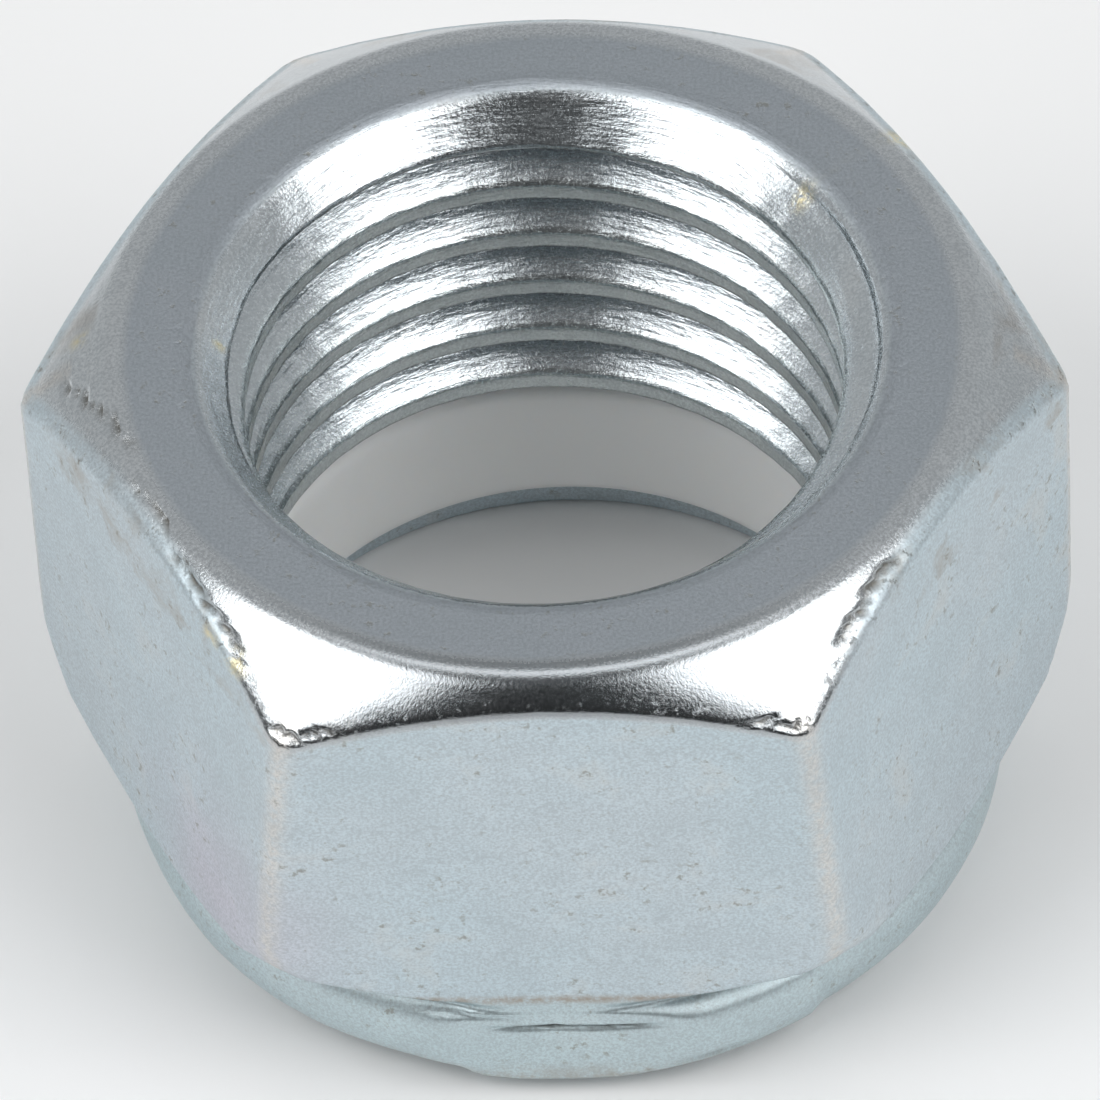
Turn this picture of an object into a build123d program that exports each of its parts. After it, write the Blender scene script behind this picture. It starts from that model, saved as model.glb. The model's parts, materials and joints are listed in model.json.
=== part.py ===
# Hexagon lock nut, M14 x 1.5, with a moulded locking ring held in its collar.
#
# All sizes are in millimetres. The nut stands on its collar: z = 0 is the end
# of the collar, +Z is the thread axis and points out of the bearing face.
# Two opposite corners lie on the X axis, so one flat faces -Y.

import os
from math import cos, radians, tan

from build123d import *
from build123d.topology import SkipClean

# ---- hexagon -----------------------------------------------------------------
ACROSS_FLATS = 19.0
HEIGHT = 13.6
BEARING_DIAMETER = 18.0        # flat ring that bears on the joint
CORNER_CHAMFER_ANGLE = 38.0    # slope of the chamfer below the bearing ring
CORNER_CHAMFER_BULGE = 0.05    # the pressed chamfer is slightly rounded
CORNER_RADIUS = ACROSS_FLATS / 2 / cos(radians(30))

# ---- thread ------------------------------------------------------------------
THREAD_DIAMETER = 14.0
PITCH = 1.5
FLANK_ANGLE = 60.0
CREST_DIAMETER = 12.46         # inside diameter across the thread crests
ROOT_FLAT = PITCH / 8
THREADED_DEPTH = 8.8           # from the bearing face to the ring pocket
COUNTERSINK_DIAMETER = 14.7    # at the bearing face
COUNTERSINK_ANGLE = 90.0       # included angle
CORE_RADIUS = 8.0              # outside of the sleeve that the thread is cut in
GROOVE_OVERLAP = 0.15          # how far the groove cutter reaches inside the crests
GROOVE_START_ANGLE = 133.0     # where the groove starts, turned from +X about +Z
CORE_SPARE = 4.0               # extra length at each end of the core before it is trimmed

# ---- collar that holds the locking ring ----------------------------------------
TAPER_START = 7.0              # height where the corners begin to draw in
TAPER_END = 4.1                # height of the lowest point of the corners
TAPER_END_RADIUS = 10.5
TAPER_BULGE = 0.11             # how far the corners stand out from a straight taper
WAIST_RADIUS = 9.3             # groove between the hexagon and the rolled lip
WAIST_HEIGHT = 2.9
GROOVE_HOLLOW = 0.12           # how far the groove's upper side is hollowed
LIP_RADIUS = 9.5               # widest part of the rolled lip
LIP_ROLL = 1.8                 # outside radius of the rolled edge
LIP_BULGE = 0.03               # rounding of the lip between the waist and the roll
LIP_WALL = 1.1
LIP_BORE_RADIUS = 7.4          # edge of the lip, turned in over the ring

# ---- locking ring ----------------------------------------------------------------
RING_BORE_RADIUS = 6.6
RING_BORE_CHAMFER = 0.45
RING_CLEARANCE = 0.02          # gap between ring and pocket, all round

CUT_MARGIN = 1.0               # how far a cutter reaches past what it cuts

pocket_top = HEIGHT - THREADED_DEPTH
crest_radius = CREST_DIAMETER / 2
bearing_radius = BEARING_DIAMETER / 2
countersink_radius = COUNTERSINK_DIAMETER / 2
roll_centre_radius = LIP_RADIUS - LIP_ROLL
roll_centre_height = LIP_ROLL
roll_inner_radius = LIP_ROLL - LIP_WALL
pocket_radius = roll_centre_radius + roll_inner_radius


def rolled_corner(centre_radius, centre_height, roll):
    """Quarter circle from the widest point down to the lowest point of a rolled edge."""
    return ThreePointArc(
        (centre_radius + roll, centre_height),
        (centre_radius + roll * cos(radians(45)), centre_height - roll * cos(radians(45))),
        (centre_radius, centre_height - roll),
    )


def draw_outside():
    """Half section of the outside, turned about Z to trim the hexagon."""
    trim_width = CORNER_RADIUS + CUT_MARGIN - bearing_radius
    trim_drop = trim_width * tan(radians(CORNER_CHAMFER_ANGLE))
    chamfer = SagittaArc(
        (bearing_radius, HEIGHT),
        (bearing_radius + trim_width, HEIGHT - trim_drop),
        CORNER_CHAMFER_BULGE,
    )
    taper = SagittaArc(
        (CORNER_RADIUS, TAPER_START), (TAPER_END_RADIUS, TAPER_END), TAPER_BULGE
    )
    lip = rolled_corner(roll_centre_radius, roll_centre_height, LIP_ROLL)
    SagittaArc(taper @ 1, (WAIST_RADIUS, WAIST_HEIGHT), -GROOVE_HOLLOW)
    SagittaArc((WAIST_RADIUS, WAIST_HEIGHT), lip @ 0, LIP_BULGE)
    Polyline(lip @ 1, (0, 0), (0, HEIGHT), chamfer @ 0)
    Polyline(chamfer @ 1, (bearing_radius + trim_width, TAPER_START), taper @ 0)


def draw_hollow():
    """Half section of the hole for the threaded core and of the ring pocket."""
    roll = rolled_corner(roll_centre_radius, roll_centre_height, roll_inner_radius)
    Polyline(
        roll @ 1,
        (LIP_BORE_RADIUS, LIP_WALL),
        (LIP_BORE_RADIUS, -CUT_MARGIN),
        (0, -CUT_MARGIN),
        (0, HEIGHT + CUT_MARGIN),
        (CORE_RADIUS, HEIGHT + CUT_MARGIN),
        (CORE_RADIUS, pocket_top),
        (pocket_radius, pocket_top),
        roll @ 0,
    )


def draw_ring():
    """Half section of the locking ring: the pocket's shape, less the clearance."""
    roll = rolled_corner(
        roll_centre_radius, roll_centre_height, roll_inner_radius - RING_CLEARANCE
    )
    top = pocket_top - RING_CLEARANCE
    bottom = LIP_WALL + RING_CLEARANCE
    Polyline(
        roll @ 1,
        (RING_BORE_RADIUS + RING_BORE_CHAMFER, bottom),
        (RING_BORE_RADIUS, bottom + RING_BORE_CHAMFER),
        (RING_BORE_RADIUS, top - RING_BORE_CHAMFER),
        (RING_BORE_RADIUS + RING_BORE_CHAMFER, top),
        (pocket_radius - RING_CLEARANCE, top),
        roll @ 0,
    )


# ---- thread groove: a 60 degree trapezium swept along a helix ----------------------
groove_inner_radius = crest_radius - GROOVE_OVERLAP
groove_depth = THREAD_DIAMETER / 2 - groove_inner_radius
groove_half_opening = ROOT_FLAT / 2 + groove_depth * tan(radians(FLANK_ANGLE / 2))
groove_start = pocket_top - PITCH
groove_path = Helix(
    PITCH, THREADED_DEPTH + 2 * PITCH, groove_inner_radius, center=(0, 0, groove_start)
)

with BuildPart() as thread_groove:
    with BuildSketch(Plane.XZ):
        with BuildLine():
            Polyline(
                (groove_inner_radius, groove_start - groove_half_opening),
                (THREAD_DIAMETER / 2, groove_start - ROOT_FLAT / 2),
                (THREAD_DIAMETER / 2, groove_start + ROOT_FLAT / 2),
                (groove_inner_radius, groove_start + groove_half_opening),
                close=True,
            )
        make_face()
    sweep(path=groove_path, is_frenet=True)

# ---- threaded core: the sleeve of metal that carries the thread ----------------------
# The groove is cut in a longer sleeve, which is then trimmed to the threaded depth.
with BuildPart() as threaded_core:
    with BuildSketch(Plane.XY.offset(pocket_top - CORE_SPARE)):
        Circle(CORE_RADIUS)
        Circle(crest_radius, mode=Mode.SUBTRACT)
    extrude(amount=THREADED_DEPTH + 2 * CORE_SPARE)
    add(thread_groove.part.rotate(Axis.Z, GROOVE_START_ANGLE), mode=Mode.SUBTRACT)
    split(bisect_by=Plane.XY.offset(HEIGHT), keep=Keep.BOTTOM)
    split(bisect_by=Plane.XY.offset(pocket_top), keep=Keep.TOP)
    with BuildSketch(Plane.XY.offset(HEIGHT)):
        Circle(countersink_radius)
    extrude(
        amount=-countersink_radius / 2,
        taper=COUNTERSINK_ANGLE / 2,
        mode=Mode.SUBTRACT,
    )
    # Four quarters, so that each face along the crest is a quarter of a turn long.
    split(bisect_by=Plane.XZ, keep=Keep.BOTH)
    split(bisect_by=Plane.YZ, keep=Keep.BOTH)

# ---- nut body: hexagon, thread and rolled collar in one piece ------------------------
with BuildPart() as nut_body:
    with BuildSketch():
        RegularPolygon(CORNER_RADIUS, 6)
    extrude(amount=HEIGHT)
    with BuildSketch(Plane.XZ):
        with BuildLine():
            draw_outside()
        make_face()
    revolve(axis=Axis.Z, mode=Mode.INTERSECT)
    with BuildSketch(Plane.XZ):
        with BuildLine():
            draw_hollow()
        make_face()
    revolve(axis=Axis.Z, mode=Mode.SUBTRACT)
    # The quarters join into one solid. Their faces are left as they are.
    with SkipClean():
        add(threaded_core.part, clean=False)
nut_body.part.label = "nut_body"

# ---- locking ring: moulded ring that grips the bolt's thread -------------------------
with BuildPart() as locking_ring:
    with BuildSketch(Plane.XZ):
        with BuildLine():
            draw_ring()
        make_face()
    revolve(axis=Axis.Z)
locking_ring.part.label = "locking_ring"

os.makedirs("parts", exist_ok=True)
export_step(nut_body.part, "parts/nut_body.step")
export_step(locking_ring.part, "parts/locking_ring.step")
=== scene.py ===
# Looks of the hexagon lock nut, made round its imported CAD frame.
#
# Lengths of the geometry are millimetres, out from the nut's axis and up from the end of its
# collar; they become metres when a mesh is made. The outside and the thread are grids, with
# rows along a section and columns round the axis. Each vertex carries marks: values from
# 0 to 1, such as "polish" or "crack", that the zinc material reads.

import json
import math

import bmesh
import bpy
import numpy as np
from mathutils import Matrix, Vector


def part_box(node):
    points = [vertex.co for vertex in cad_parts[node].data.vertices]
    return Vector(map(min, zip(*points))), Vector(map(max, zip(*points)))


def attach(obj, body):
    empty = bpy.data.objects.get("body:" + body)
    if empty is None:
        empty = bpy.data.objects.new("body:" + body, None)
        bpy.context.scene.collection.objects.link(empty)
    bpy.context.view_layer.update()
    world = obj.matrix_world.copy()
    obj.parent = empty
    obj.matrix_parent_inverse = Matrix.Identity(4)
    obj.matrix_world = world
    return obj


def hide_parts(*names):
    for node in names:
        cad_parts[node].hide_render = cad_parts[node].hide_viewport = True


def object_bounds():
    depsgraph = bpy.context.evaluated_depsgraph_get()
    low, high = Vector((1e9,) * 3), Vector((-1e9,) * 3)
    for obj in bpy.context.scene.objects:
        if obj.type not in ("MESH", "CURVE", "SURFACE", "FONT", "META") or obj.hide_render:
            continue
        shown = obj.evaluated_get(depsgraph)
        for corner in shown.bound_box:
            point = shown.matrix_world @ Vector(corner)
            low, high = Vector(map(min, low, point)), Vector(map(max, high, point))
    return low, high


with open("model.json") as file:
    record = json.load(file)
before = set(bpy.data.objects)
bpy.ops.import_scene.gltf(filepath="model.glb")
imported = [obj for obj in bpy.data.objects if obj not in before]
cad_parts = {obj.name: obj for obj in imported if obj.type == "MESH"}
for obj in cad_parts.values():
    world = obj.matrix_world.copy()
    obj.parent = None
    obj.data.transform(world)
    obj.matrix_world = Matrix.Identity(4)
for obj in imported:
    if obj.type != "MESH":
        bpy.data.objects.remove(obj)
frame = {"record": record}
cad_low, cad_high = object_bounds()

MM = 0.001

# ---- sizes, in millimetres, read from the frame or shared with the CAD ---------------
across_corners = (cad_high.x - cad_low.x) / MM
across_flats = (cad_high.y - cad_low.y) / MM
height = (cad_high.z - cad_low.z) / MM
ring_low, ring_high = (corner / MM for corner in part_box("locking_ring"))
mounts = {m["name"]: m for m in frame["record"]["mounts"]}
crest_radius = mounts["thread"]["dims"]["r_mm"]

PITCH = 1.5
ROOT_RADIUS = 7.0
THREAD_START_ANGLE = math.radians(133.0)
FLANK_SLOPE = math.tan(math.radians(30.0))
COUNTERSINK_RADIUS = 7.2
COUNTERSINK_ROLL = 0.6                  # radius of the rolled edge at the bearing face
COUNTERSINK_EDGE = COUNTERSINK_RADIUS + COUNTERSINK_ROLL * math.tan(math.radians(22.5))
BEARING_RADIUS = 9.0
CHAMFER_SLOPE = math.tan(math.radians(38.0))
LIP_WALL = 1.1
LIP_BORE = 7.4
RING_CLEARANCE = 0.02
RING_BORE = 6.6

corner_radius = across_corners / 2
flat_distance = across_flats / 2
pocket_radius = ring_high.x + RING_CLEARANCE
pocket_top = ring_high.z + RING_CLEARANCE


# ---- small geometry helpers -----------------------------------------------------------
def soft_min(a, b, blend):
    """The smaller of two lengths, with the meeting edge rounded over about blend."""
    overlap = np.clip(blend - np.abs(a - b), 0, None) / blend
    return np.minimum(a, b) - overlap ** 2 * blend / 4


def soft_max(a, b, blend):
    """The larger of two lengths, with the meeting edge rounded over about blend."""
    return -soft_min(-a, -b, blend)


def bump_curve(distance, width):
    """1 at distance 0, falling smoothly to 0 at width."""
    t = np.clip(1 - np.abs(distance) / width, 0, 1)
    return t * t * (3 - 2 * t)


def angle_gap(a, b):
    """Signed difference between two angles, in -pi..pi."""
    return (a - b + math.pi) % (2 * math.pi) - math.pi


def away(angle, degrees, half_width):
    """Turn from a direction in degrees, signed, as a share of half_width in degrees."""
    return angle_gap(angle, math.radians(degrees)) / math.radians(half_width)


def near(angle, degrees, half_width):
    """1 in one direction from the axis, falling smoothly to 0 half_width degrees from it."""
    return bump_curve(angle_gap(angle, math.radians(degrees)), math.radians(half_width))


def ripple(angle, level, seed, rounds, per_mm, terms=24):
    """Smooth random waviness, about -1 to 1, that closes round the axis."""
    source = np.random.default_rng(seed)
    total = np.zeros(np.broadcast(angle, level).shape)
    for _ in range(terms):
        turns = source.integers(1, rounds + 1)
        climb = source.uniform(-per_mm, per_mm) * 2 * math.pi
        phase = source.uniform(0, 2 * math.pi)
        total = total + np.cos(turns * angle + climb * level + phase)
    return total / math.sqrt(terms * 2)


def arc(centre, radius, start, end, count):
    """Points of a circular arc in (radius, height), from start to end degrees."""
    sweep = np.radians(np.linspace(start, end, count))
    return [(centre[0] + radius * math.cos(t), centre[1] + radius * math.sin(t)) for t in sweep]


def line(start, end, count):
    """Points from start up to, but not including, end."""
    share = np.linspace(0, 1, count, endpoint=False)
    return [(start[0] + (end[0] - start[0]) * t, start[1] + (end[1] - start[1]) * t) for t in share]


def column_angles():
    """Directions of the mesh columns, close together at the six corners."""
    near_corner = np.array([0, 0.35, 0.7, 1.1, 1.6, 2.3, 3.2])
    along_flat = np.linspace(4.3, 30, 21)
    half = np.radians(np.concatenate([near_corner, along_flat]))
    sector = np.concatenate([half, math.pi / 3 - half[-2:0:-1]])
    return np.concatenate([sector + k * math.pi / 3 for k in range(6)])


columns = column_angles()


# ---- outside of the nut: its section ------------------------------------------------------
SHOULDER_EASE = 0.25            # half width of the rounding between bearing ring and chamfer
SHOULDER_GAP = 0.05             # from the shoulder's last row to the chamfer's first
PATH_SPARE = 0.6                # how far the section runs past the corners, to be trimmed
TAPER_TOP = 7.2                 # where the corners begin to draw in
TAPER_SPARE = 0.05              # the taper starts this far outside the corners
TAPER_POWER = 2.2               # how late the corners turn inwards
TAPER_FOOT = (10.45, 3.95)      # lowest point of the corners
FLAT_FOOT = (9.42, 3.2)         # lowest point of the flats
WAIST = (9.12, 2.95)            # groove above the lip
LIP_RADIUS = 9.42
LIP_BEAD = 2.12                 # height of the lip's widest part
BEAD_ROLL = 0.75                # radius of the lip's upper side
LIP_ROLL = 1.75                 # radius of its lower side
BORE_EDGE_ROLL = 0.14
POCKET_ROLL = 0.7
FLAT_ROWS, SHOULDER_ROWS, CHAMFER_ROWS = 6, 5, 38
TOP_ROWS = FLAT_ROWS + SHOULDER_ROWS


def bearing_and_chamfer(wide):
    """Section from the countersink's edge to the foot of the chamfer."""
    ease = SHOULDER_EASE
    path = line((COUNTERSINK_EDGE, height), (BEARING_RADIUS - ease, height), FLAT_ROWS)
    for t in np.linspace(0, 1, SHOULDER_ROWS):
        path.append((BEARING_RADIUS - ease + 2 * ease * t, height - CHAMFER_SLOPE * ease * t * t))
    first = ease + SHOULDER_GAP
    start = (BEARING_RADIUS + first, height - CHAMFER_SLOPE * first)
    end = (wide, height - (wide - BEARING_RADIUS) * CHAMFER_SLOPE)
    path += line(start, end, CHAMFER_ROWS)
    return path + line(end, (wide, TAPER_TOP), 9)


def taper_and_waist():
    """Section of the corners as they draw in, down to the groove."""
    start = corner_radius + TAPER_SPARE
    reach = start - TAPER_FOOT[0]
    path = []
    for t in np.linspace(0, 1, 14, endpoint=False):
        path.append((start - reach * t ** TAPER_POWER, TAPER_TOP + (TAPER_FOOT[1] - TAPER_TOP) * t))
    path += line(TAPER_FOOT, FLAT_FOOT, 16)
    return path + line(FLAT_FOOT, WAIST, 3)


def lip_outside():
    """Section of the lip, from the groove round to its lowest circle."""
    path = line(WAIST, (9.00, 2.80), 2)
    path += arc((LIP_RADIUS - BEAD_ROLL, LIP_BEAD), BEAD_ROLL, 60, 4, 15)
    path += line((LIP_RADIUS, 2.08), (LIP_RADIUS, LIP_ROLL), 3)
    return path + arc((LIP_RADIUS - LIP_ROLL, LIP_ROLL), LIP_ROLL, 0, -90, 20)


def lip_inside():
    """Section of the lip's underside, its bore and the pocket behind it."""
    roll = BORE_EDGE_ROLL
    path = line((LIP_RADIUS - LIP_ROLL - 0.06, 0.0), (LIP_BORE + 0.12, 0.05), 2)
    path += arc((LIP_BORE + roll, 0.2), roll, -90, -180, 4)
    path += [(LIP_BORE, 0.6), (LIP_BORE + 0.02, LIP_WALL - 0.1), (LIP_BORE + 0.15, LIP_WALL)]
    path += arc((pocket_radius - POCKET_ROLL, LIP_WALL + POCKET_ROLL), POCKET_ROLL, -90, 0, 5)
    return path + [(pocket_radius, 3.2), (pocket_radius, pocket_top)]


def outside_path():
    """Whole half section, and how many of its rows are on the outside."""
    outer = bearing_and_chamfer(corner_radius + PATH_SPARE) + taper_and_waist() + lip_outside()
    return np.array(outer + lip_inside()), len(outer)


# ---- outside of the nut: its shape round the axis --------------------------------------------
CORNER_ROUNDING = 0.09
CHAMFER_LOWEST = 9.0            # no chamfer reaches below this height
CHAMFER_DROOP = 0.9             # rounding of the chamfer towards the flats
DROOP_SHARE = 0.46
EDGE_BLEND = 0.08
LIP_SPARE = 0.03                # keeps the flats from trimming the lip
LIP_TOP = 2.9
CHAMFER_LIFT = 0.12             # the chamfer is a little flatter at the back
NICK_DEPTH = 0.10
DIRT_LINE = 3.22                # height of the dirt along the foot of the flats

# direction in degrees, half width in degrees, how far the lip stands out
LIP_LOBES = ((-112, 14, -0.05), (-38, 16, 0.05), (-140, 18, 0.04), (20, 30, 0.05), (150, 25, 0.06))
LIP_SWELLING = (-78, 25, 0.13)
# direction, half width, height above the collar's end, depth
CREASES = (
    (-87.5, 11, 2.28, 0.20),
    (-101, 7, 2.62, 0.06),
    (-74, 9, 2.80, 0.06),
    (-112, 12, 3.06, 0.10),
    (-66, 10, 3.06, 0.11),
    (-30, 24, 3.04, 0.08),
    (-150, 24, 3.04, 0.08),
    (90, 85, 3.04, 0.05),
    (-70, 6, 1.05, 0.08),
)
# direction, height, radius, depth
PITS = ((-58.5, 2.8, 0.20, 0.28), (-97, 3.4, 0.16, 0.05), (-104, 3.5, 0.12, 0.04))
# direction, half width, distance in from the edge of the flat, half height of the dent
NICKS = (
    (-45, 7.5, 0.26, 0.13),
    (-63, 3, 0.06, 0.07),
    (-117, 4, 0.06, 0.07),
    (-136, 9, 0.18, 0.11),
    (-152, 6, 0.40, 0.09),
    (-170, 9, 0.85, 0.12),
)
# direction, height, radius
YELLOW_SPOTS = ((38, 13.25, 0.40), (-128, 12.75, 0.35), (176, 13.1, 0.22), (-133, 12.8, 0.25))


def splay(angle, level):
    """How far the two front corners turn apart towards the collar, as cold forming left them."""
    drop = np.clip((height - level) / height, 0, 0.8) - 0.11
    left = near(angle, -120, 45)
    right = near(angle, -60, 45)
    return math.radians(1.0) * left - math.radians(8.2) * drop * left + math.radians(6.0) * drop * right


def hexagon(nominal, angle, level):
    """Distance from the axis to the hexagon at an angle, corners slightly rounded."""
    side = np.floor(nominal / (math.pi / 3))
    first = side * math.pi / 3
    second = first + math.pi / 3
    corner_a = first + splay(first, level)
    corner_b = second + splay(second, level)
    ax, ay = corner_radius * np.cos(corner_a), corner_radius * np.sin(corner_a)
    bx, by = corner_radius * np.cos(corner_b), corner_radius * np.sin(corner_b)
    normal_x, normal_y = by - ay, ax - bx
    reach = (ax * normal_x + ay * normal_y) / (np.cos(angle) * normal_x + np.sin(angle) * normal_y)
    edge = np.minimum(nominal - first, second - nominal)
    return reach - CORNER_ROUNDING * bump_curve(edge, math.radians(2.2)) ** 2


def chamfer_cut(path_radius, flat, level):
    """The section trimmed by the flats: the chamfer droops, then ends in a crisp edge."""
    to_corner = np.clip((flat - flat_distance) / (corner_radius - flat_distance), 0, 1)
    droop = CHAMFER_DROOP * (1 + to_corner)
    drooped = soft_min(path_radius, flat + DROOP_SHARE * droop, droop)
    return soft_min(np.where(level > CHAMFER_LOWEST, drooped, path_radius), flat, EDGE_BLEND)


def lip_shape(angle, level):
    """How far the rolled lip stands out: uneven all round, and swollen at the front."""
    on_lip = np.clip((3.0 - level) / 0.5, 0, 1)
    uneven = 0.045 * ripple(angle, level, 6, 7, 0.05)
    for degrees, half_width, raised in LIP_LOBES:
        uneven = uneven + raised * near(angle, degrees, half_width)
    degrees, half_width, raised = LIP_SWELLING
    swelling = np.clip((1 - np.abs(away(angle, degrees, half_width))) / 0.10, 0, 1)
    return on_lip * (uneven + raised * swelling)


def crease_depth(angle, level):
    """Thin creases left where the lip was rolled: one dark crack, and fainter ones above it."""
    depth = np.zeros(np.broadcast(angle, level).shape)
    wander = 0.022 * np.sin(angle * 31) + 0.010 * np.sin(angle * 83 + 1)
    for degrees, half_width, at, deep in CREASES:
        along = np.clip(1 - np.abs(away(angle, degrees, half_width)), 0, 1)
        depth = depth + deep * along ** 0.4 * bump_curve(level - at - wander, 0.10)
    return depth


def pit_depth(angle, level):
    """Small round pits on the lip and above it."""
    depth = np.zeros(np.broadcast(angle, level).shape)
    for degrees, at, size, deep in PITS:
        across = angle_gap(angle, math.radians(degrees)) * flat_distance
        depth = depth + deep * bump_curve(np.hypot(across, level - at), size)
    return depth


def nick_lines(angle, gap):
    """Jagged dents along the chamfer, a little in from the flats."""
    found = np.zeros(np.broadcast(angle, gap).shape)
    jagged = 0.05 * np.sin(angle * 97 + 2) + 0.04 * np.sin(angle * 231)
    for degrees, half_width, inset, size in NICKS:
        along = np.clip((1 - np.abs(away(angle, degrees, half_width))) * 4, 0, 1)
        found = np.maximum(found, along * bump_curve(gap - inset - jagged, size))
    return found


def yellow_spots(angle, level):
    """Small places where the passivation has dried thick and yellow."""
    found = np.zeros(np.broadcast(angle, level).shape)
    for degrees, at, size in YELLOW_SPOTS:
        across = angle_gap(angle, math.radians(degrees)) * 8.5
        found = np.maximum(found, bump_curve(np.hypot(across, level - at), size))
    return found


def build_outside():
    """Grid of the outside and the ring pocket, with its marks."""
    path, outer_rows = outside_path()
    radius = path[:, :1] + np.zeros_like(columns)[None]
    level = path[:, 1:] + np.zeros_like(columns)[None]
    rows = np.arange(len(path))[:, None] + 0 * radius
    outer = (rows < outer_rows).astype(float)
    on_chamfer = (rows >= FLAT_ROWS) & (rows < TOP_ROWS + CHAMFER_ROWS)

    nominal = np.broadcast_to(columns[None], radius.shape)
    angle = nominal + splay(nominal, level)
    past_bearing = np.clip(radius - BEARING_RADIUS, 0, None)
    level = level + on_chamfer * near(nominal, 90, 85) * CHAMFER_LIFT * past_bearing

    flat = hexagon(nominal, angle, level)
    swollen = radius + outer * lip_shape(angle, level)
    trimmed = chamfer_cut(swollen, flat + LIP_SPARE * (level < LIP_TOP), level)
    still_round = (rows < FLAT_ROWS - 2) | (outer == 0)
    result = np.where(still_round, radius, trimmed)

    below_shoulder = outer * np.clip((rows - TOP_ROWS) / 8, 0, 1)
    wave = 0.015 * ripple(angle, level, 3, 9, 0.12)
    fine = 0.005 * ripple(angle, level, 4, 60, 1.2)
    creases = crease_depth(angle, level) + pit_depth(angle, level)
    chamfer_gap = flat - radius
    nick = np.where(on_chamfer, nick_lines(angle, chamfer_gap), 0)
    result = result + below_shoulder * (wave + fine) - outer * creases - NICK_DEPTH * nick

    marks = dict(
        surface_marks(nominal, angle, level, outer),
        polish=np.where(on_chamfer, polished(angle, chamfer_gap), 0),
        bearing=np.where(rows < TOP_ROWS - 2, 1.0, 0.0),
        rim=np.where(on_chamfer | (level > 11), bump_curve(chamfer_gap, 0.35), 0),
        # Besides the dents, this mark takes in the collar's creases and pits, where it paints shade.
        nick=np.maximum(nick, np.clip(creases * 8 - 0.5, 0, 1)),
        # Painted shade, near black, in the deepest creases and the pit.
        crack_shade=np.clip(creases * 20 - 2.2, 0, 1) * outer,
        cone=np.where(on_chamfer & (rows > TOP_ROWS), 1.0, 0.0),
    )
    return angle, result, level, marks


def front_share(angle):
    """1 at the middle of the front flat, falling to 0 at the middle of the flats beside it."""
    return near(angle, -90, 60)


def polished(angle, chamfer_gap):
    """Where the chamfer is polished: all of it at the front, only its inner part elsewhere."""
    worn = 0.30 - 0.6 * np.clip(front_share(angle) * 3 - 0.4, 0, 1)
    return np.clip((chamfer_gap - worn) / 0.2 + 0.5, 0, 1)


def surface_marks(nominal, angle, level, outer):
    """Marks that only depend on the place round the axis and the height."""
    front = front_share(angle)
    corner_gap = np.abs(angle_gap(nominal * 6, 0)) / 6 * corner_radius
    on_flats = (level < height - 0.6) & (level > LIP_TOP) & (outer > 0)
    foot_edge = bump_curve(level - DIRT_LINE, 0.22)
    lip_dirt = 0.6 * front * bump_curve(level - 0.6, 0.6)
    return {
        "front": front,
        "collar": np.clip((3.3 - level) / 0.3, 0, 1) * outer,
        "foot": outer * np.maximum(foot_edge, lip_dirt),
        "corner": np.where(on_flats, bump_curve(corner_gap, 0.42), 0),
        "lilac": near(angle, -134, 26) * bump_curve(level - 5.2, 4.5),
        "yellow": yellow_spots(angle, level),
        "thread": 0.0,
        "crest": 0.0,
    }


# ---- thread: a grid that climbs one pitch a turn, held flat at its two ends --------------------
STEPS_PER_TURN = 18
ROOT_BLEND = 0.12
CREST_BLEND = 0.06
CONE_BLEND = 0.05
TOP_EASE = 0.4                  # the rows bunch up towards the bearing face over this height


def thread_radius(angle, level):
    """Distance from the axis to the thread: crest, 60 degree flanks and root."""
    start = pocket_top - PITCH
    turns = (angle - THREAD_START_ANGLE) / (2 * math.pi)
    phase = (level - start) / PITCH - turns
    offset = np.abs((phase + 0.5) % 1 - 0.5) * PITCH
    flank = ROOT_RADIUS - (offset - PITCH / 16) / FLANK_SLOPE
    flank = soft_min(flank, ROOT_RADIUS + 0 * flank, ROOT_BLEND)
    return soft_max(flank, crest_radius + 0 * flank, CREST_BLEND)


def countersink_reach(depth):
    """Radius of the countersink at a depth: a 90 degree cone with a rolled upper edge."""
    roll = COUNTERSINK_ROLL
    end_depth = roll * (1 - math.cos(math.radians(45)))
    inside = np.clip(depth, 0, end_depth)
    curved = COUNTERSINK_EDGE - np.sqrt(roll ** 2 - (roll - inside) ** 2)
    return np.where(depth < end_depth, curved, COUNTERSINK_RADIUS - depth)


def build_thread():
    """Grid of the thread and the countersink."""
    step = PITCH / STEPS_PER_TURN
    lowest = pocket_top - PITCH
    steps = int(round((height + TOP_EASE - lowest) / step)) + 2
    sheared = lowest + step * np.arange(steps)[:, None] + PITCH * columns[None] / (2 * math.pi)
    below = np.clip(height + TOP_EASE / 2 - sheared, 0, None)
    depth = np.where(below < TOP_EASE, below ** 2 / (2 * TOP_EASE), below - TOP_EASE / 2)
    level = np.maximum(height - depth, pocket_top)
    angle = np.broadcast_to(columns[None], level.shape)
    radius = soft_max(thread_radius(angle, level), countersink_reach(height - level), CONE_BLEND)
    rough = 0.008 * ripple(angle, level, 9, 60, 1.5)
    radius = radius + rough * np.clip((height - level) / 0.6, 0, 1)
    radius = np.where(level >= height - 1e-9, COUNTERSINK_EDGE, radius)
    return angle, radius, level


# ---- mesh making -------------------------------------------------------------------------------
WELD = 2e-6                     # metres


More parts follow.
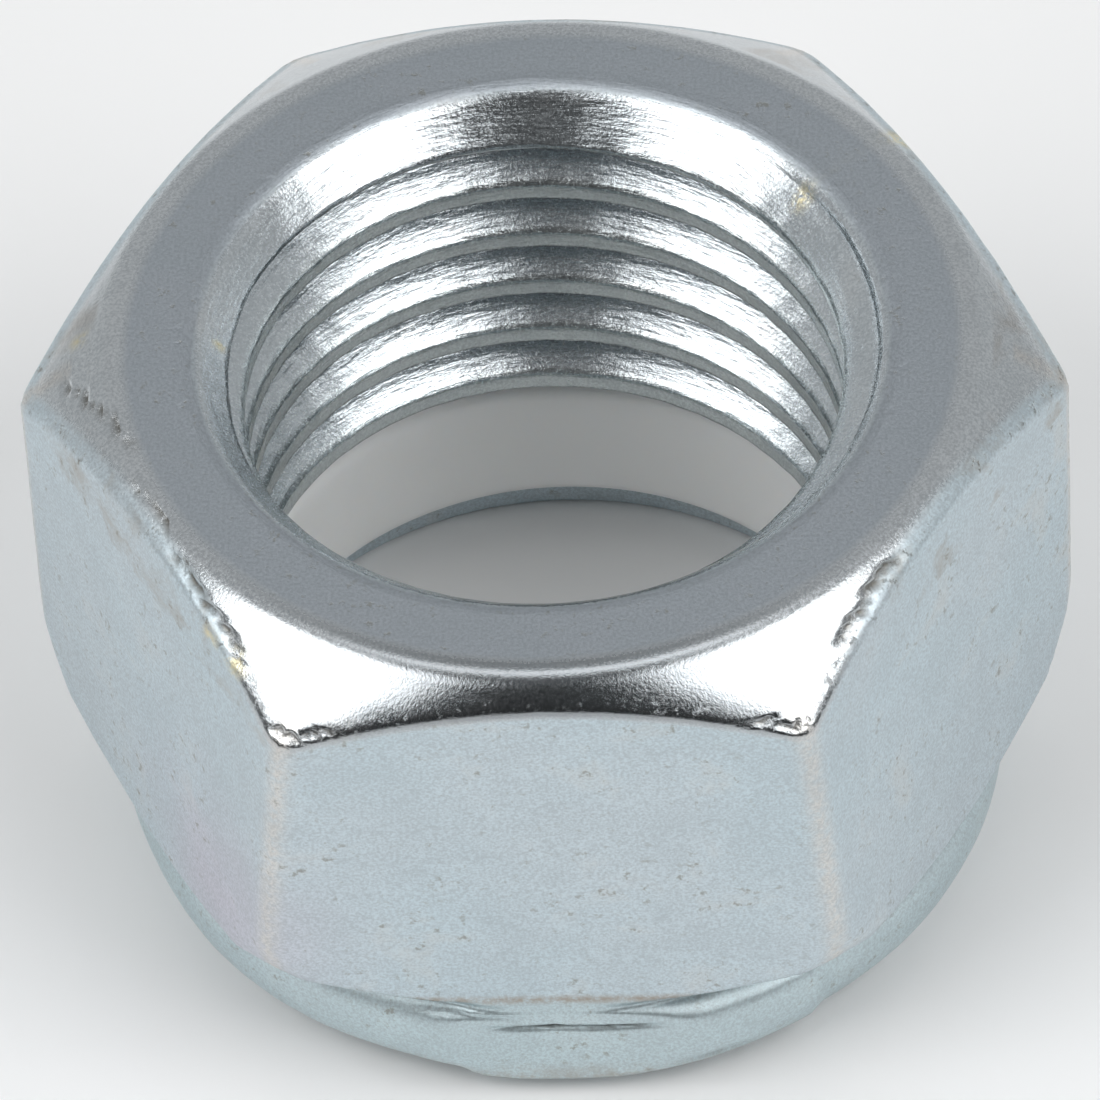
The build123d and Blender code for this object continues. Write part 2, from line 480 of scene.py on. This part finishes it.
def grid_mesh(name, blocks):
    """One mesh of several (angle, radius, level, climb, marks) grids, welded where they meet.

    The last column joins the first, climb rows higher up.
    """
    points, faces, values = [], [], {}
    offset = 0
    for angle, radius, level, climb, marks in blocks:
        rows, cols = radius.shape
        xyz = np.stack([radius * np.cos(angle), radius * np.sin(angle), level], -1) * MM
        points.append(xyz.reshape(-1, 3))
        index = np.arange(rows * cols).reshape(rows, cols) + offset
        right = np.roll(index, -1, axis=1)
        right[:, -1] = index[np.minimum(np.arange(rows) + climb, rows - 1), 0]
        faces.append(np.stack([index[:-1], right[:-1], right[1:], index[1:]], -1).reshape(-1, 4))
        for key in marks:
            values.setdefault(key, []).append(np.broadcast_to(marks[key], radius.shape).ravel())
        offset += rows * cols
    mesh = bpy.data.meshes.new(name)
    mesh.from_pydata(np.concatenate(points).tolist(), [], np.concatenate(faces).tolist())
    for key, parts in values.items():
        attribute = mesh.attributes.new(key, "FLOAT", "POINT")
        attribute.data.foreach_set("value", np.concatenate(parts).astype(np.float32))
    close_up(mesh)
    piece = bpy.data.objects.new(name, mesh)
    bpy.context.scene.collection.objects.link(piece)
    return piece


def close_up(mesh):
    """Welds points that coincide, removes what collapsed, and shades the mesh smooth."""
    work = bmesh.new()
    work.from_mesh(mesh)
    bmesh.ops.remove_doubles(work, verts=work.verts, dist=WELD)
    bmesh.ops.dissolve_degenerate(work, dist=WELD, edges=work.edges)
    bmesh.ops.recalc_face_normals(work, faces=work.faces)
    work.to_mesh(mesh)
    work.free()
    mesh.polygons.foreach_set("use_smooth", [True] * len(mesh.polygons))


def make_nut():
    """The whole steel nut: outside and pocket, thread and countersink, and the pocket's roof."""
    angle, radius, level, marks = build_outside()
    thread_angle, thread_r, thread_level = build_thread()
    depth = height - thread_level
    still_flat = np.clip(1 - (depth - 0.04) / 0.06, 0, 1)
    past_roll = np.clip((depth - 0.18) / 0.15, 0, 1)
    on_crest = np.clip(1 - (thread_r - crest_radius) / 0.12, 0, 1)
    roof_marks = dict.fromkeys(marks, 0.0)
    roof_marks.update(thread=1.0)
    thread_marks = dict(
        roof_marks,
        polish=0.90 - 0.90 * still_flat - 0.12 * past_roll,
        bearing=still_flat,
        # Where the thread crests are painted pale, as a painted reflection.
        crest=on_crest * past_roll,
        yellow=yellow_spots(thread_angle, thread_level),
    )
    roof_radius = np.stack([radius[-1], thread_radius(columns, pocket_top + 0 * columns)])
    roof_level = np.full_like(roof_radius, pocket_top)
    roof_angle = np.stack([columns, columns])
    return grid_mesh(
        "nut_steel",
        [
            (angle, radius, level, 0, marks),
            (thread_angle, thread_r, thread_level, STEPS_PER_TURN, thread_marks),
            (roof_angle, roof_radius, roof_level, 0, roof_marks),
        ],
    )


nut = make_nut()
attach(nut, "root")
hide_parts("nut_body")


# ---- locking ring ---------------------------------------------------------------------------------
RING_COLUMNS = 180
RING_TOP_ROLL = 0.45            # rounding of the bore's upper edge
RING_LOW_ROLL = 0.6             # rounding of the bore's lower edge
RING_CORNER_ROLL = 0.1
RING_POCKET_ROLL = 0.66         # follows the rounded floor of the pocket


def ring_path():
    """Section of the ring: the CAD ring's with its bore edges rounded."""
    outer = pocket_radius - RING_CLEARANCE
    bottom, top = ring_low.z, ring_high.z
    high, low, edge = RING_TOP_ROLL, RING_LOW_ROLL, RING_CORNER_ROLL
    path = line((RING_BORE, bottom + low), (RING_BORE, top - high), 10)
    path += arc((RING_BORE + high, top - high), high, 180, 90, 8)
    path += line((RING_BORE + 0.5, top), (outer - edge, top), 4)
    path += arc((outer - edge, top - edge), edge, 90, 0, 3)
    path += line((outer, top - 0.2), (outer, bottom + 0.7), 4)
    path += arc((outer - RING_POCKET_ROLL, bottom + 0.68), RING_POCKET_ROLL, 0, -90, 6)
    path += line((outer - 0.7, bottom), (RING_BORE + low, bottom), 4)
    path += arc((RING_BORE + low, bottom + low), low, -90, -180, 8)
    return np.array(path)


def make_ring():
    """Lathed nylon ring."""
    path = ring_path()
    turn = np.linspace(0, 2 * math.pi, RING_COLUMNS, endpoint=False)[None]
    radius = path[:, :1] + 0 * turn
    level = path[:, 1:] + 0 * turn
    radius = radius + 0.006 * ripple(turn, level, 21, 12, 0.4)
    return grid_mesh("nylon_ring", [(turn + 0 * radius, radius, level, 0, {})])


ring = make_ring()
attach(ring, "root")
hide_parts("locking_ring")


# ---- materials ------------------------------------------------------------------------------------
class Nodes:
    """Short names for building one material's node tree."""

    def __init__(self, name):
        self.material = bpy.data.materials.new(name)
        self.material.use_nodes = True
        self.tree = self.material.node_tree
        self.shader = self.tree.nodes["Principled BSDF"]

    def add(self, kind, inputs=(), **settings):
        node = self.tree.nodes.new(kind)
        for key, value in settings.items():
            setattr(node, key, value)
        for key, value in dict(inputs).items():
            if hasattr(value, "is_output"):
                self.tree.links.new(value, node.inputs[key])
            else:
                node.inputs[key].default_value = value
        return node

    def link(self, output, key):
        self.tree.links.new(output, self.shader.inputs[key])

    def noise(self, scale, detail, roughness, vector, distortion=0.0):
        inputs = {
            "Scale": scale,
            "Detail": detail,
            "Roughness": roughness,
            "Vector": vector,
            "Distortion": distortion,
        }
        return self.add("ShaderNodeTexNoise", inputs).outputs["Fac"]

    def spread(self, value, low, high, to_low=0.0, to_high=1.0):
        inputs = {"Value": value, "From Min": low, "From Max": high, "To Min": to_low, "To Max": to_high}
        return self.add("ShaderNodeMapRange", inputs).outputs["Result"]

    def mix(self, factor, first, second):
        inputs = {0: factor, 6: first, 7: second}
        return self.add("ShaderNodeMix", inputs, data_type="RGBA").outputs[2]

    def math(self, operation, first, second=0.0, third=0.0):
        inputs = {0: first, 1: second, 2: third}
        return self.add("ShaderNodeMath", inputs, operation=operation).outputs[0]

    def mark(self, name):
        return self.add("ShaderNodeAttribute", attribute_name=name).outputs["Fac"]


def streaks(n, place):
    """Fine lines that run round the axis, as a cutting tool leaves them."""
    parts = n.add("ShaderNodeSeparateXYZ", {"Vector": place}).outputs
    turn = n.math("MULTIPLY", n.math("ARCTAN2", parts["X"], parts["Y"]), 0.0012)
    y_squared = n.math("MULTIPLY", parts["Y"], parts["Y"])
    out = n.math("SQRT", n.math("MULTIPLY_ADD", parts["X"], parts["X"], y_squared))
    round_the_axis = n.add("ShaderNodeCombineXYZ", {"X": turn, "Y": out, "Z": parts["Z"]})
    return n.noise(9000.0, 3.0, 0.6, round_the_axis.outputs["Vector"])


# Base colours of the plated steel, as light reflected straight on.
BLUE_ZINC = (0.635, 0.735, 0.785, 1)
GRAY_ZINC = (0.65, 0.73, 0.775, 1)
WARM_FILM = (0.68, 0.67, 0.64, 1)
LILAC_FILM = (0.68, 0.66, 0.74, 1)
TURNED_STEEL = (0.45, 0.485, 0.525, 1)
POLISHED_STEEL = (0.74, 0.77, 0.79, 1)
# Darker colour for the polished chamfer at the front: painted shade.
FRONT_CHAMFER_PAINTED_SHADE = (0.36, 0.38, 0.395, 1)
COLLAR_FILM = (0.60, 0.72, 0.74, 1)
# Pale beige for the corners of the flats: partly rubbed plating, partly a painted highlight of the
# rounded corners.
CORNER_WEAR_AND_HIGHLIGHT = (0.78, 0.75, 0.71, 1)
# Pale colour for the thread crests: a painted reflection.
CREST_PAINTED_REFLECTION = (0.84, 0.90, 0.89, 1)
MOTTLE = (0.40, 0.45, 0.48, 1)
GRAIN = (0.14, 0.15, 0.16, 1)
FLECK = (0.30, 0.30, 0.27, 1)
FOOT_DIRT = (0.40, 0.35, 0.30, 1)
BROWN_SMEAR = (0.36, 0.33, 0.29, 1)
YELLOW_SPOT = (0.85, 0.76, 0.48, 1)
# Dark bruises and dents, and painted shade in the creases and pits.
BRUISE_AND_CREASE_SHADE = (0.16, 0.15, 0.13, 1)
# Near black for the deepest creases and the pit: painted shade.
CRACK_SHADE = (0.07, 0.065, 0.06, 1)


def plated_colour(n, cloud, patch, crust):
    """Colour of the clean surfaces: the plating's film, and where it is turned or polished, with painted
    shade on the front chamfer, a painted highlight along the corners and a painted reflection on the
    thread crests.
    """
    polish = n.mark("polish")
    tint = n.mix(n.spread(cloud, 0.4, 0.6), BLUE_ZINC, GRAY_ZINC)
    tint = n.mix(n.spread(patch, 0.56, 0.70, 0, 0.35), tint, WARM_FILM)
    lilac = n.math("MULTIPLY", n.mark("lilac"), n.spread(cloud, 0.35, 0.60, 0.2, 0.9))
    tint = n.mix(lilac, tint, LILAC_FILM)
    tint = n.mix(n.math("MULTIPLY", n.mark("bearing"), 0.95), tint, TURNED_STEEL)
    tint = n.mix(n.math("MULTIPLY", polish, 0.9), tint, POLISHED_STEEL)
    # Painted shade: the polished chamfer gets a darker colour at the front, to tone down its highlight.
    tint = n.mix(n.math("MULTIPLY", polish, n.mark("front")), tint, FRONT_CHAMFER_PAINTED_SHADE)
    tint = n.mix(n.math("MULTIPLY", n.mark("collar"), 0.6), tint, COLLAR_FILM)
    # Pale band along the corners of the flats: partly rubbed plating, partly a painted highlight.
    corner_wear_and_highlight = n.math("MULTIPLY", n.mark("corner"), n.spread(crust, 0.35, 0.55, 0.25, 0.8))
    tint = n.mix(corner_wear_and_highlight, tint, CORNER_WEAR_AND_HIGHLIGHT)
    # Painted reflection: the thread crests are painted pale.
    return n.mix(n.math("MULTIPLY", n.mark("crest"), 0.7), tint, CREST_PAINTED_REFLECTION)


def grained(n, tint, patch, grain):
    """Cloudy mottling and fine dark grain, all over."""
    mottle = n.math("MULTIPLY_ADD", patch, 0.5, n.math("MULTIPLY", grain, 0.5))
    tint = n.mix(n.spread(mottle, 0.42, 0.58, 0.26, 0.0), tint, MOTTLE)
    return n.mix(n.spread(grain, 0.38, 0.60, 0.20, 0.0), tint, GRAIN)


def fleck_share(n, place, patch):
    """Small dark flecks in clusters, none on the polished places."""
    fleck = n.noise(3600.0, 4.0, 0.7, place)
    dull = n.math("SUBTRACT", 1.0, n.mark("polish"))
    cluster = n.math("MULTIPLY", n.spread(patch, 0.44, 0.58), dull)
    return n.math("MULTIPLY", n.spread(fleck, 0.585, 0.67, 0, 0.7), cluster)


def stained(n, tint, patch, crust):
    """Dirt at the foot of the flats, brown smears on the dull chamfers, and yellow spots."""
    foot = n.math("MULTIPLY", n.mark("foot"), n.spread(crust, 0.40, 0.56, 0.15, 0.9))
    tint = n.mix(foot, tint, FOOT_DIRT)
    not_front = n.math("SUBTRACT", 1.0, n.mark("front"))
    smear = n.math("MULTIPLY", not_front, n.spread(patch, 0.50, 0.64, 0, 0.45))
    tint = n.mix(n.math("MULTIPLY", smear, n.mark("cone")), tint, BROWN_SMEAR)
    yellow = n.math("MULTIPLY", n.mark("yellow"), n.spread(crust, 0.40, 0.52, 0, 0.9))
    return n.mix(yellow, tint, YELLOW_SPOT)


def bruise_and_crease_shade_share(n, crust):
    """Dirty, bruised edge between the chamfer and the flats, the dents beside it, and painted shade in
    the collar's creases and pits.
    """
    mostly_behind = n.math("MULTIPLY_ADD", n.mark("front"), -0.8, 1.0)
    rim = n.math("MULTIPLY", n.mark("rim"), mostly_behind)
    rim = n.math("MULTIPLY", rim, n.spread(crust, 0.56, 0.66, 0, 0.7))
    nick = n.math("MULTIPLY", n.mark("nick"), n.spread(crust, 0.38, 0.52, 0.1, 0.95))
    return n.math("MAXIMUM", rim, nick)


def zinc_material():
    """Blue-passivated zinc on steel."""
    n = Nodes("zinc_plate")
    place = n.add("ShaderNodeTexCoord").outputs["Object"]
    cloud = n.noise(170.0, 4.0, 0.55, place)
    patch = n.noise(520.0, 5.0, 0.65, place, 0.4)
    grain = n.noise(15000.0, 3.0, 0.7, place)
    crust = n.noise(3600.0, 6.0, 0.75, place)
    thread = n.mark("thread")
    flecks = fleck_share(n, place, patch)
    bruise_and_crease_shade = bruise_and_crease_shade_share(n, crust)

    tint = grained(n, plated_colour(n, cloud, patch, crust), patch, grain)
    tint = n.mix(flecks, tint, FLECK)
    tint = stained(n, tint, patch, crust)
    # Dark bruises and dents, and painted shade in the collar's creases and pits.
    tint = n.mix(bruise_and_crease_shade, tint, BRUISE_AND_CREASE_SHADE)
    # Painted shade: near black in the deepest creases and the pit.
    tint = n.mix(n.math("MULTIPLY", n.mark("crack_shade"), 0.93), tint, CRACK_SHADE)
    n.link(tint, "Base Color")
    n.shader.inputs["Metallic"].default_value = 1.0

    rough = n.spread(grain, 0.3, 0.7, 0.40, 0.52)
    rough = n.math("MULTIPLY_ADD", n.mark("polish"), -0.26, rough)
    rough = n.math("MULTIPLY_ADD", thread, -0.02, rough)
    rough = n.math("MULTIPLY_ADD", bruise_and_crease_shade, 0.15, rough)
    n.link(rough, "Roughness")

    relief = n.math("MULTIPLY_ADD", flecks, -0.5, n.math("MULTIPLY", grain, 0.35))
    relief = n.math("MULTIPLY_ADD", bruise_and_crease_shade, -1.2, relief)
    relief = n.math("MULTIPLY_ADD", n.math("MULTIPLY", streaks(n, place), thread), 1.2, relief)
    bump = n.add("ShaderNodeBump", {"Strength": 0.5, "Distance": 0.00003, "Height": relief})
    n.link(bump.outputs["Normal"], "Normal")
    return n.material


def nylon_material():
    """Natural nylon, slightly cloudy and translucent."""
    n = Nodes("natural_nylon")
    place = n.add("ShaderNodeTexCoord").outputs["Object"]
    cloud = n.noise(300.0, 4.0, 0.5, place)
    tint = n.mix(n.spread(cloud, 0.3, 0.7), (0.98, 0.98, 0.97, 1), (0.95, 0.95, 0.93, 1))
    n.link(tint, "Base Color")
    n.link(n.spread(cloud, 0.3, 0.7, 0.32, 0.45), "Roughness")
    n.shader.inputs["Subsurface Weight"].default_value = 0.4
    n.shader.inputs["Subsurface Radius"].default_value = (1.0, 0.9, 0.8)
    n.shader.inputs["Subsurface Scale"].default_value = 0.0008
    fine = n.noise(3500.0, 3.0, 0.5, place)
    bump = n.add("ShaderNodeBump", {"Strength": 0.2, "Distance": 0.00002, "Height": fine})
    n.link(bump.outputs["Normal"], "Normal")
    return n.material


nut.data.materials.append(zinc_material())
ring.data.materials.append(nylon_material())


# ---- floor, lights and camera ------------------------------------------------------------------------
def plain_material(name, colour, roughness):
    """One colour and one roughness."""
    n = Nodes(name)
    n.shader.inputs["Base Color"].default_value = (*colour, 1)
    n.shader.inputs["Roughness"].default_value = roughness
    return n.material


FLOOR_HALF_SIZE = 1.5                    # metres


def make_floor():
    size = FLOOR_HALF_SIZE
    mesh = bpy.data.meshes.new("floor")
    corners = [(-size, -size, 0), (size, -size, 0), (size, size, 0), (-size, size, 0)]
    mesh.from_pydata([Vector(c) for c in corners], [], [(0, 1, 2, 3)])
    mesh.materials.append(plain_material("pale_floor", (0.90, 0.90, 0.90), 0.7))
    floor = bpy.data.objects.new("floor", mesh)
    bpy.context.scene.collection.objects.link(floor)


CAMERA_ELEVATION = math.radians(49.04)
CAMERA_AZIMUTH = math.radians(3.09)      # turned about the nut's axis
CAMERA_ROLL = math.radians(3.32)
CAMERA_DISTANCE = 23.554 * corner_radius * MM
FOCAL_RATIO = 11.38                      # focal length over sensor width
# Image centre, right and up from the middle of the bearing face, in corner radii.
AIM = (-0.006, -0.393)


def make_camera():
    right = Vector((math.cos(CAMERA_AZIMUTH), math.sin(CAMERA_AZIMUTH), 0))
    ahead = Vector((-math.sin(CAMERA_AZIMUTH), math.cos(CAMERA_AZIMUTH), 0))
    forward = ahead * math.cos(CAMERA_ELEVATION) - Vector((0, 0, math.sin(CAMERA_ELEVATION)))
    up = right.cross(forward)
    radius = corner_radius * MM
    target = Vector((0, 0, height * MM)) + right * (AIM[0] * radius) + up * (AIM[1] * radius)
    turned_right = right * math.cos(CAMERA_ROLL) - up * math.sin(CAMERA_ROLL)
    turned_up = right * math.sin(CAMERA_ROLL) + up * math.cos(CAMERA_ROLL)
    data = bpy.data.cameras.new("camera")
    data.sensor_width = 36.0
    data.lens = data.sensor_width * FOCAL_RATIO
    data.clip_start, data.clip_end = 0.02, 20.0
    camera = bpy.data.objects.new("camera", data)
    turn = Matrix((turned_right, turned_up, -forward)).transposed()
    camera.matrix_world = Matrix.Translation(target - forward * CAMERA_DISTANCE) @ turn.to_4x4()
    bpy.context.scene.collection.objects.link(camera)
    bpy.context.scene.camera = camera


def soft_light(name, azimuth, elevation, distance, size, power):
    """A soft box aimed at the nut. Azimuth 0 is the nut's front, positive to the right."""
    a, e = math.radians(azimuth), math.radians(elevation)
    direction = Vector((math.sin(a) * math.cos(e), -math.cos(a) * math.cos(e), math.sin(e)))
    data = bpy.data.lights.new(name, "AREA")
    data.shape = "RECTANGLE"
    data.size, data.size_y = size
    data.energy = power
    light = bpy.data.objects.new(name, data)
    light.location = direction * distance
    light.rotation_mode = "QUATERNION"
    light.rotation_quaternion = direction.to_track_quat("Z", "Y")
    bpy.context.scene.collection.objects.link(light)


def make_world():
    """A studio that is dark before the nut and mid gray behind it."""
    world = bpy.data.worlds.new("studio")
    world.use_nodes = True
    tree = world.node_tree
    direction = tree.nodes.new("ShaderNodeTexCoord")
    parts = tree.nodes.new("ShaderNodeSeparateXYZ")
    shade = tree.nodes.new("ShaderNodeMapRange")
    shade.interpolation_type = "SMOOTHSTEP"
    for key, value in (("From Min", -0.5), ("From Max", 0.25), ("To Min", 0.05), ("To Max", 0.48)):
        shade.inputs[key].default_value = value
    background = tree.nodes["Background"]
    background.inputs["Color"].default_value = (0.97, 0.99, 1.0, 1)
    tree.links.new(direction.outputs["Generated"], parts.inputs[0])
    tree.links.new(parts.outputs["Y"], shade.inputs["Value"])
    tree.links.new(shade.outputs["Result"], background.inputs["Strength"])
    bpy.context.scene.world = world


make_floor()
make_camera()
make_world()
soft_light("left_box", -60, 46, 0.6, (0.36, 0.42), 1.75)
soft_light("right_box", 60, 46, 0.6, (0.36, 0.42), 1.75)
soft_light("top_panel", 180, 86, 0.7, (0.40, 0.22), 0.44)

bpy.context.scene.view_settings.view_transform = "Standard"
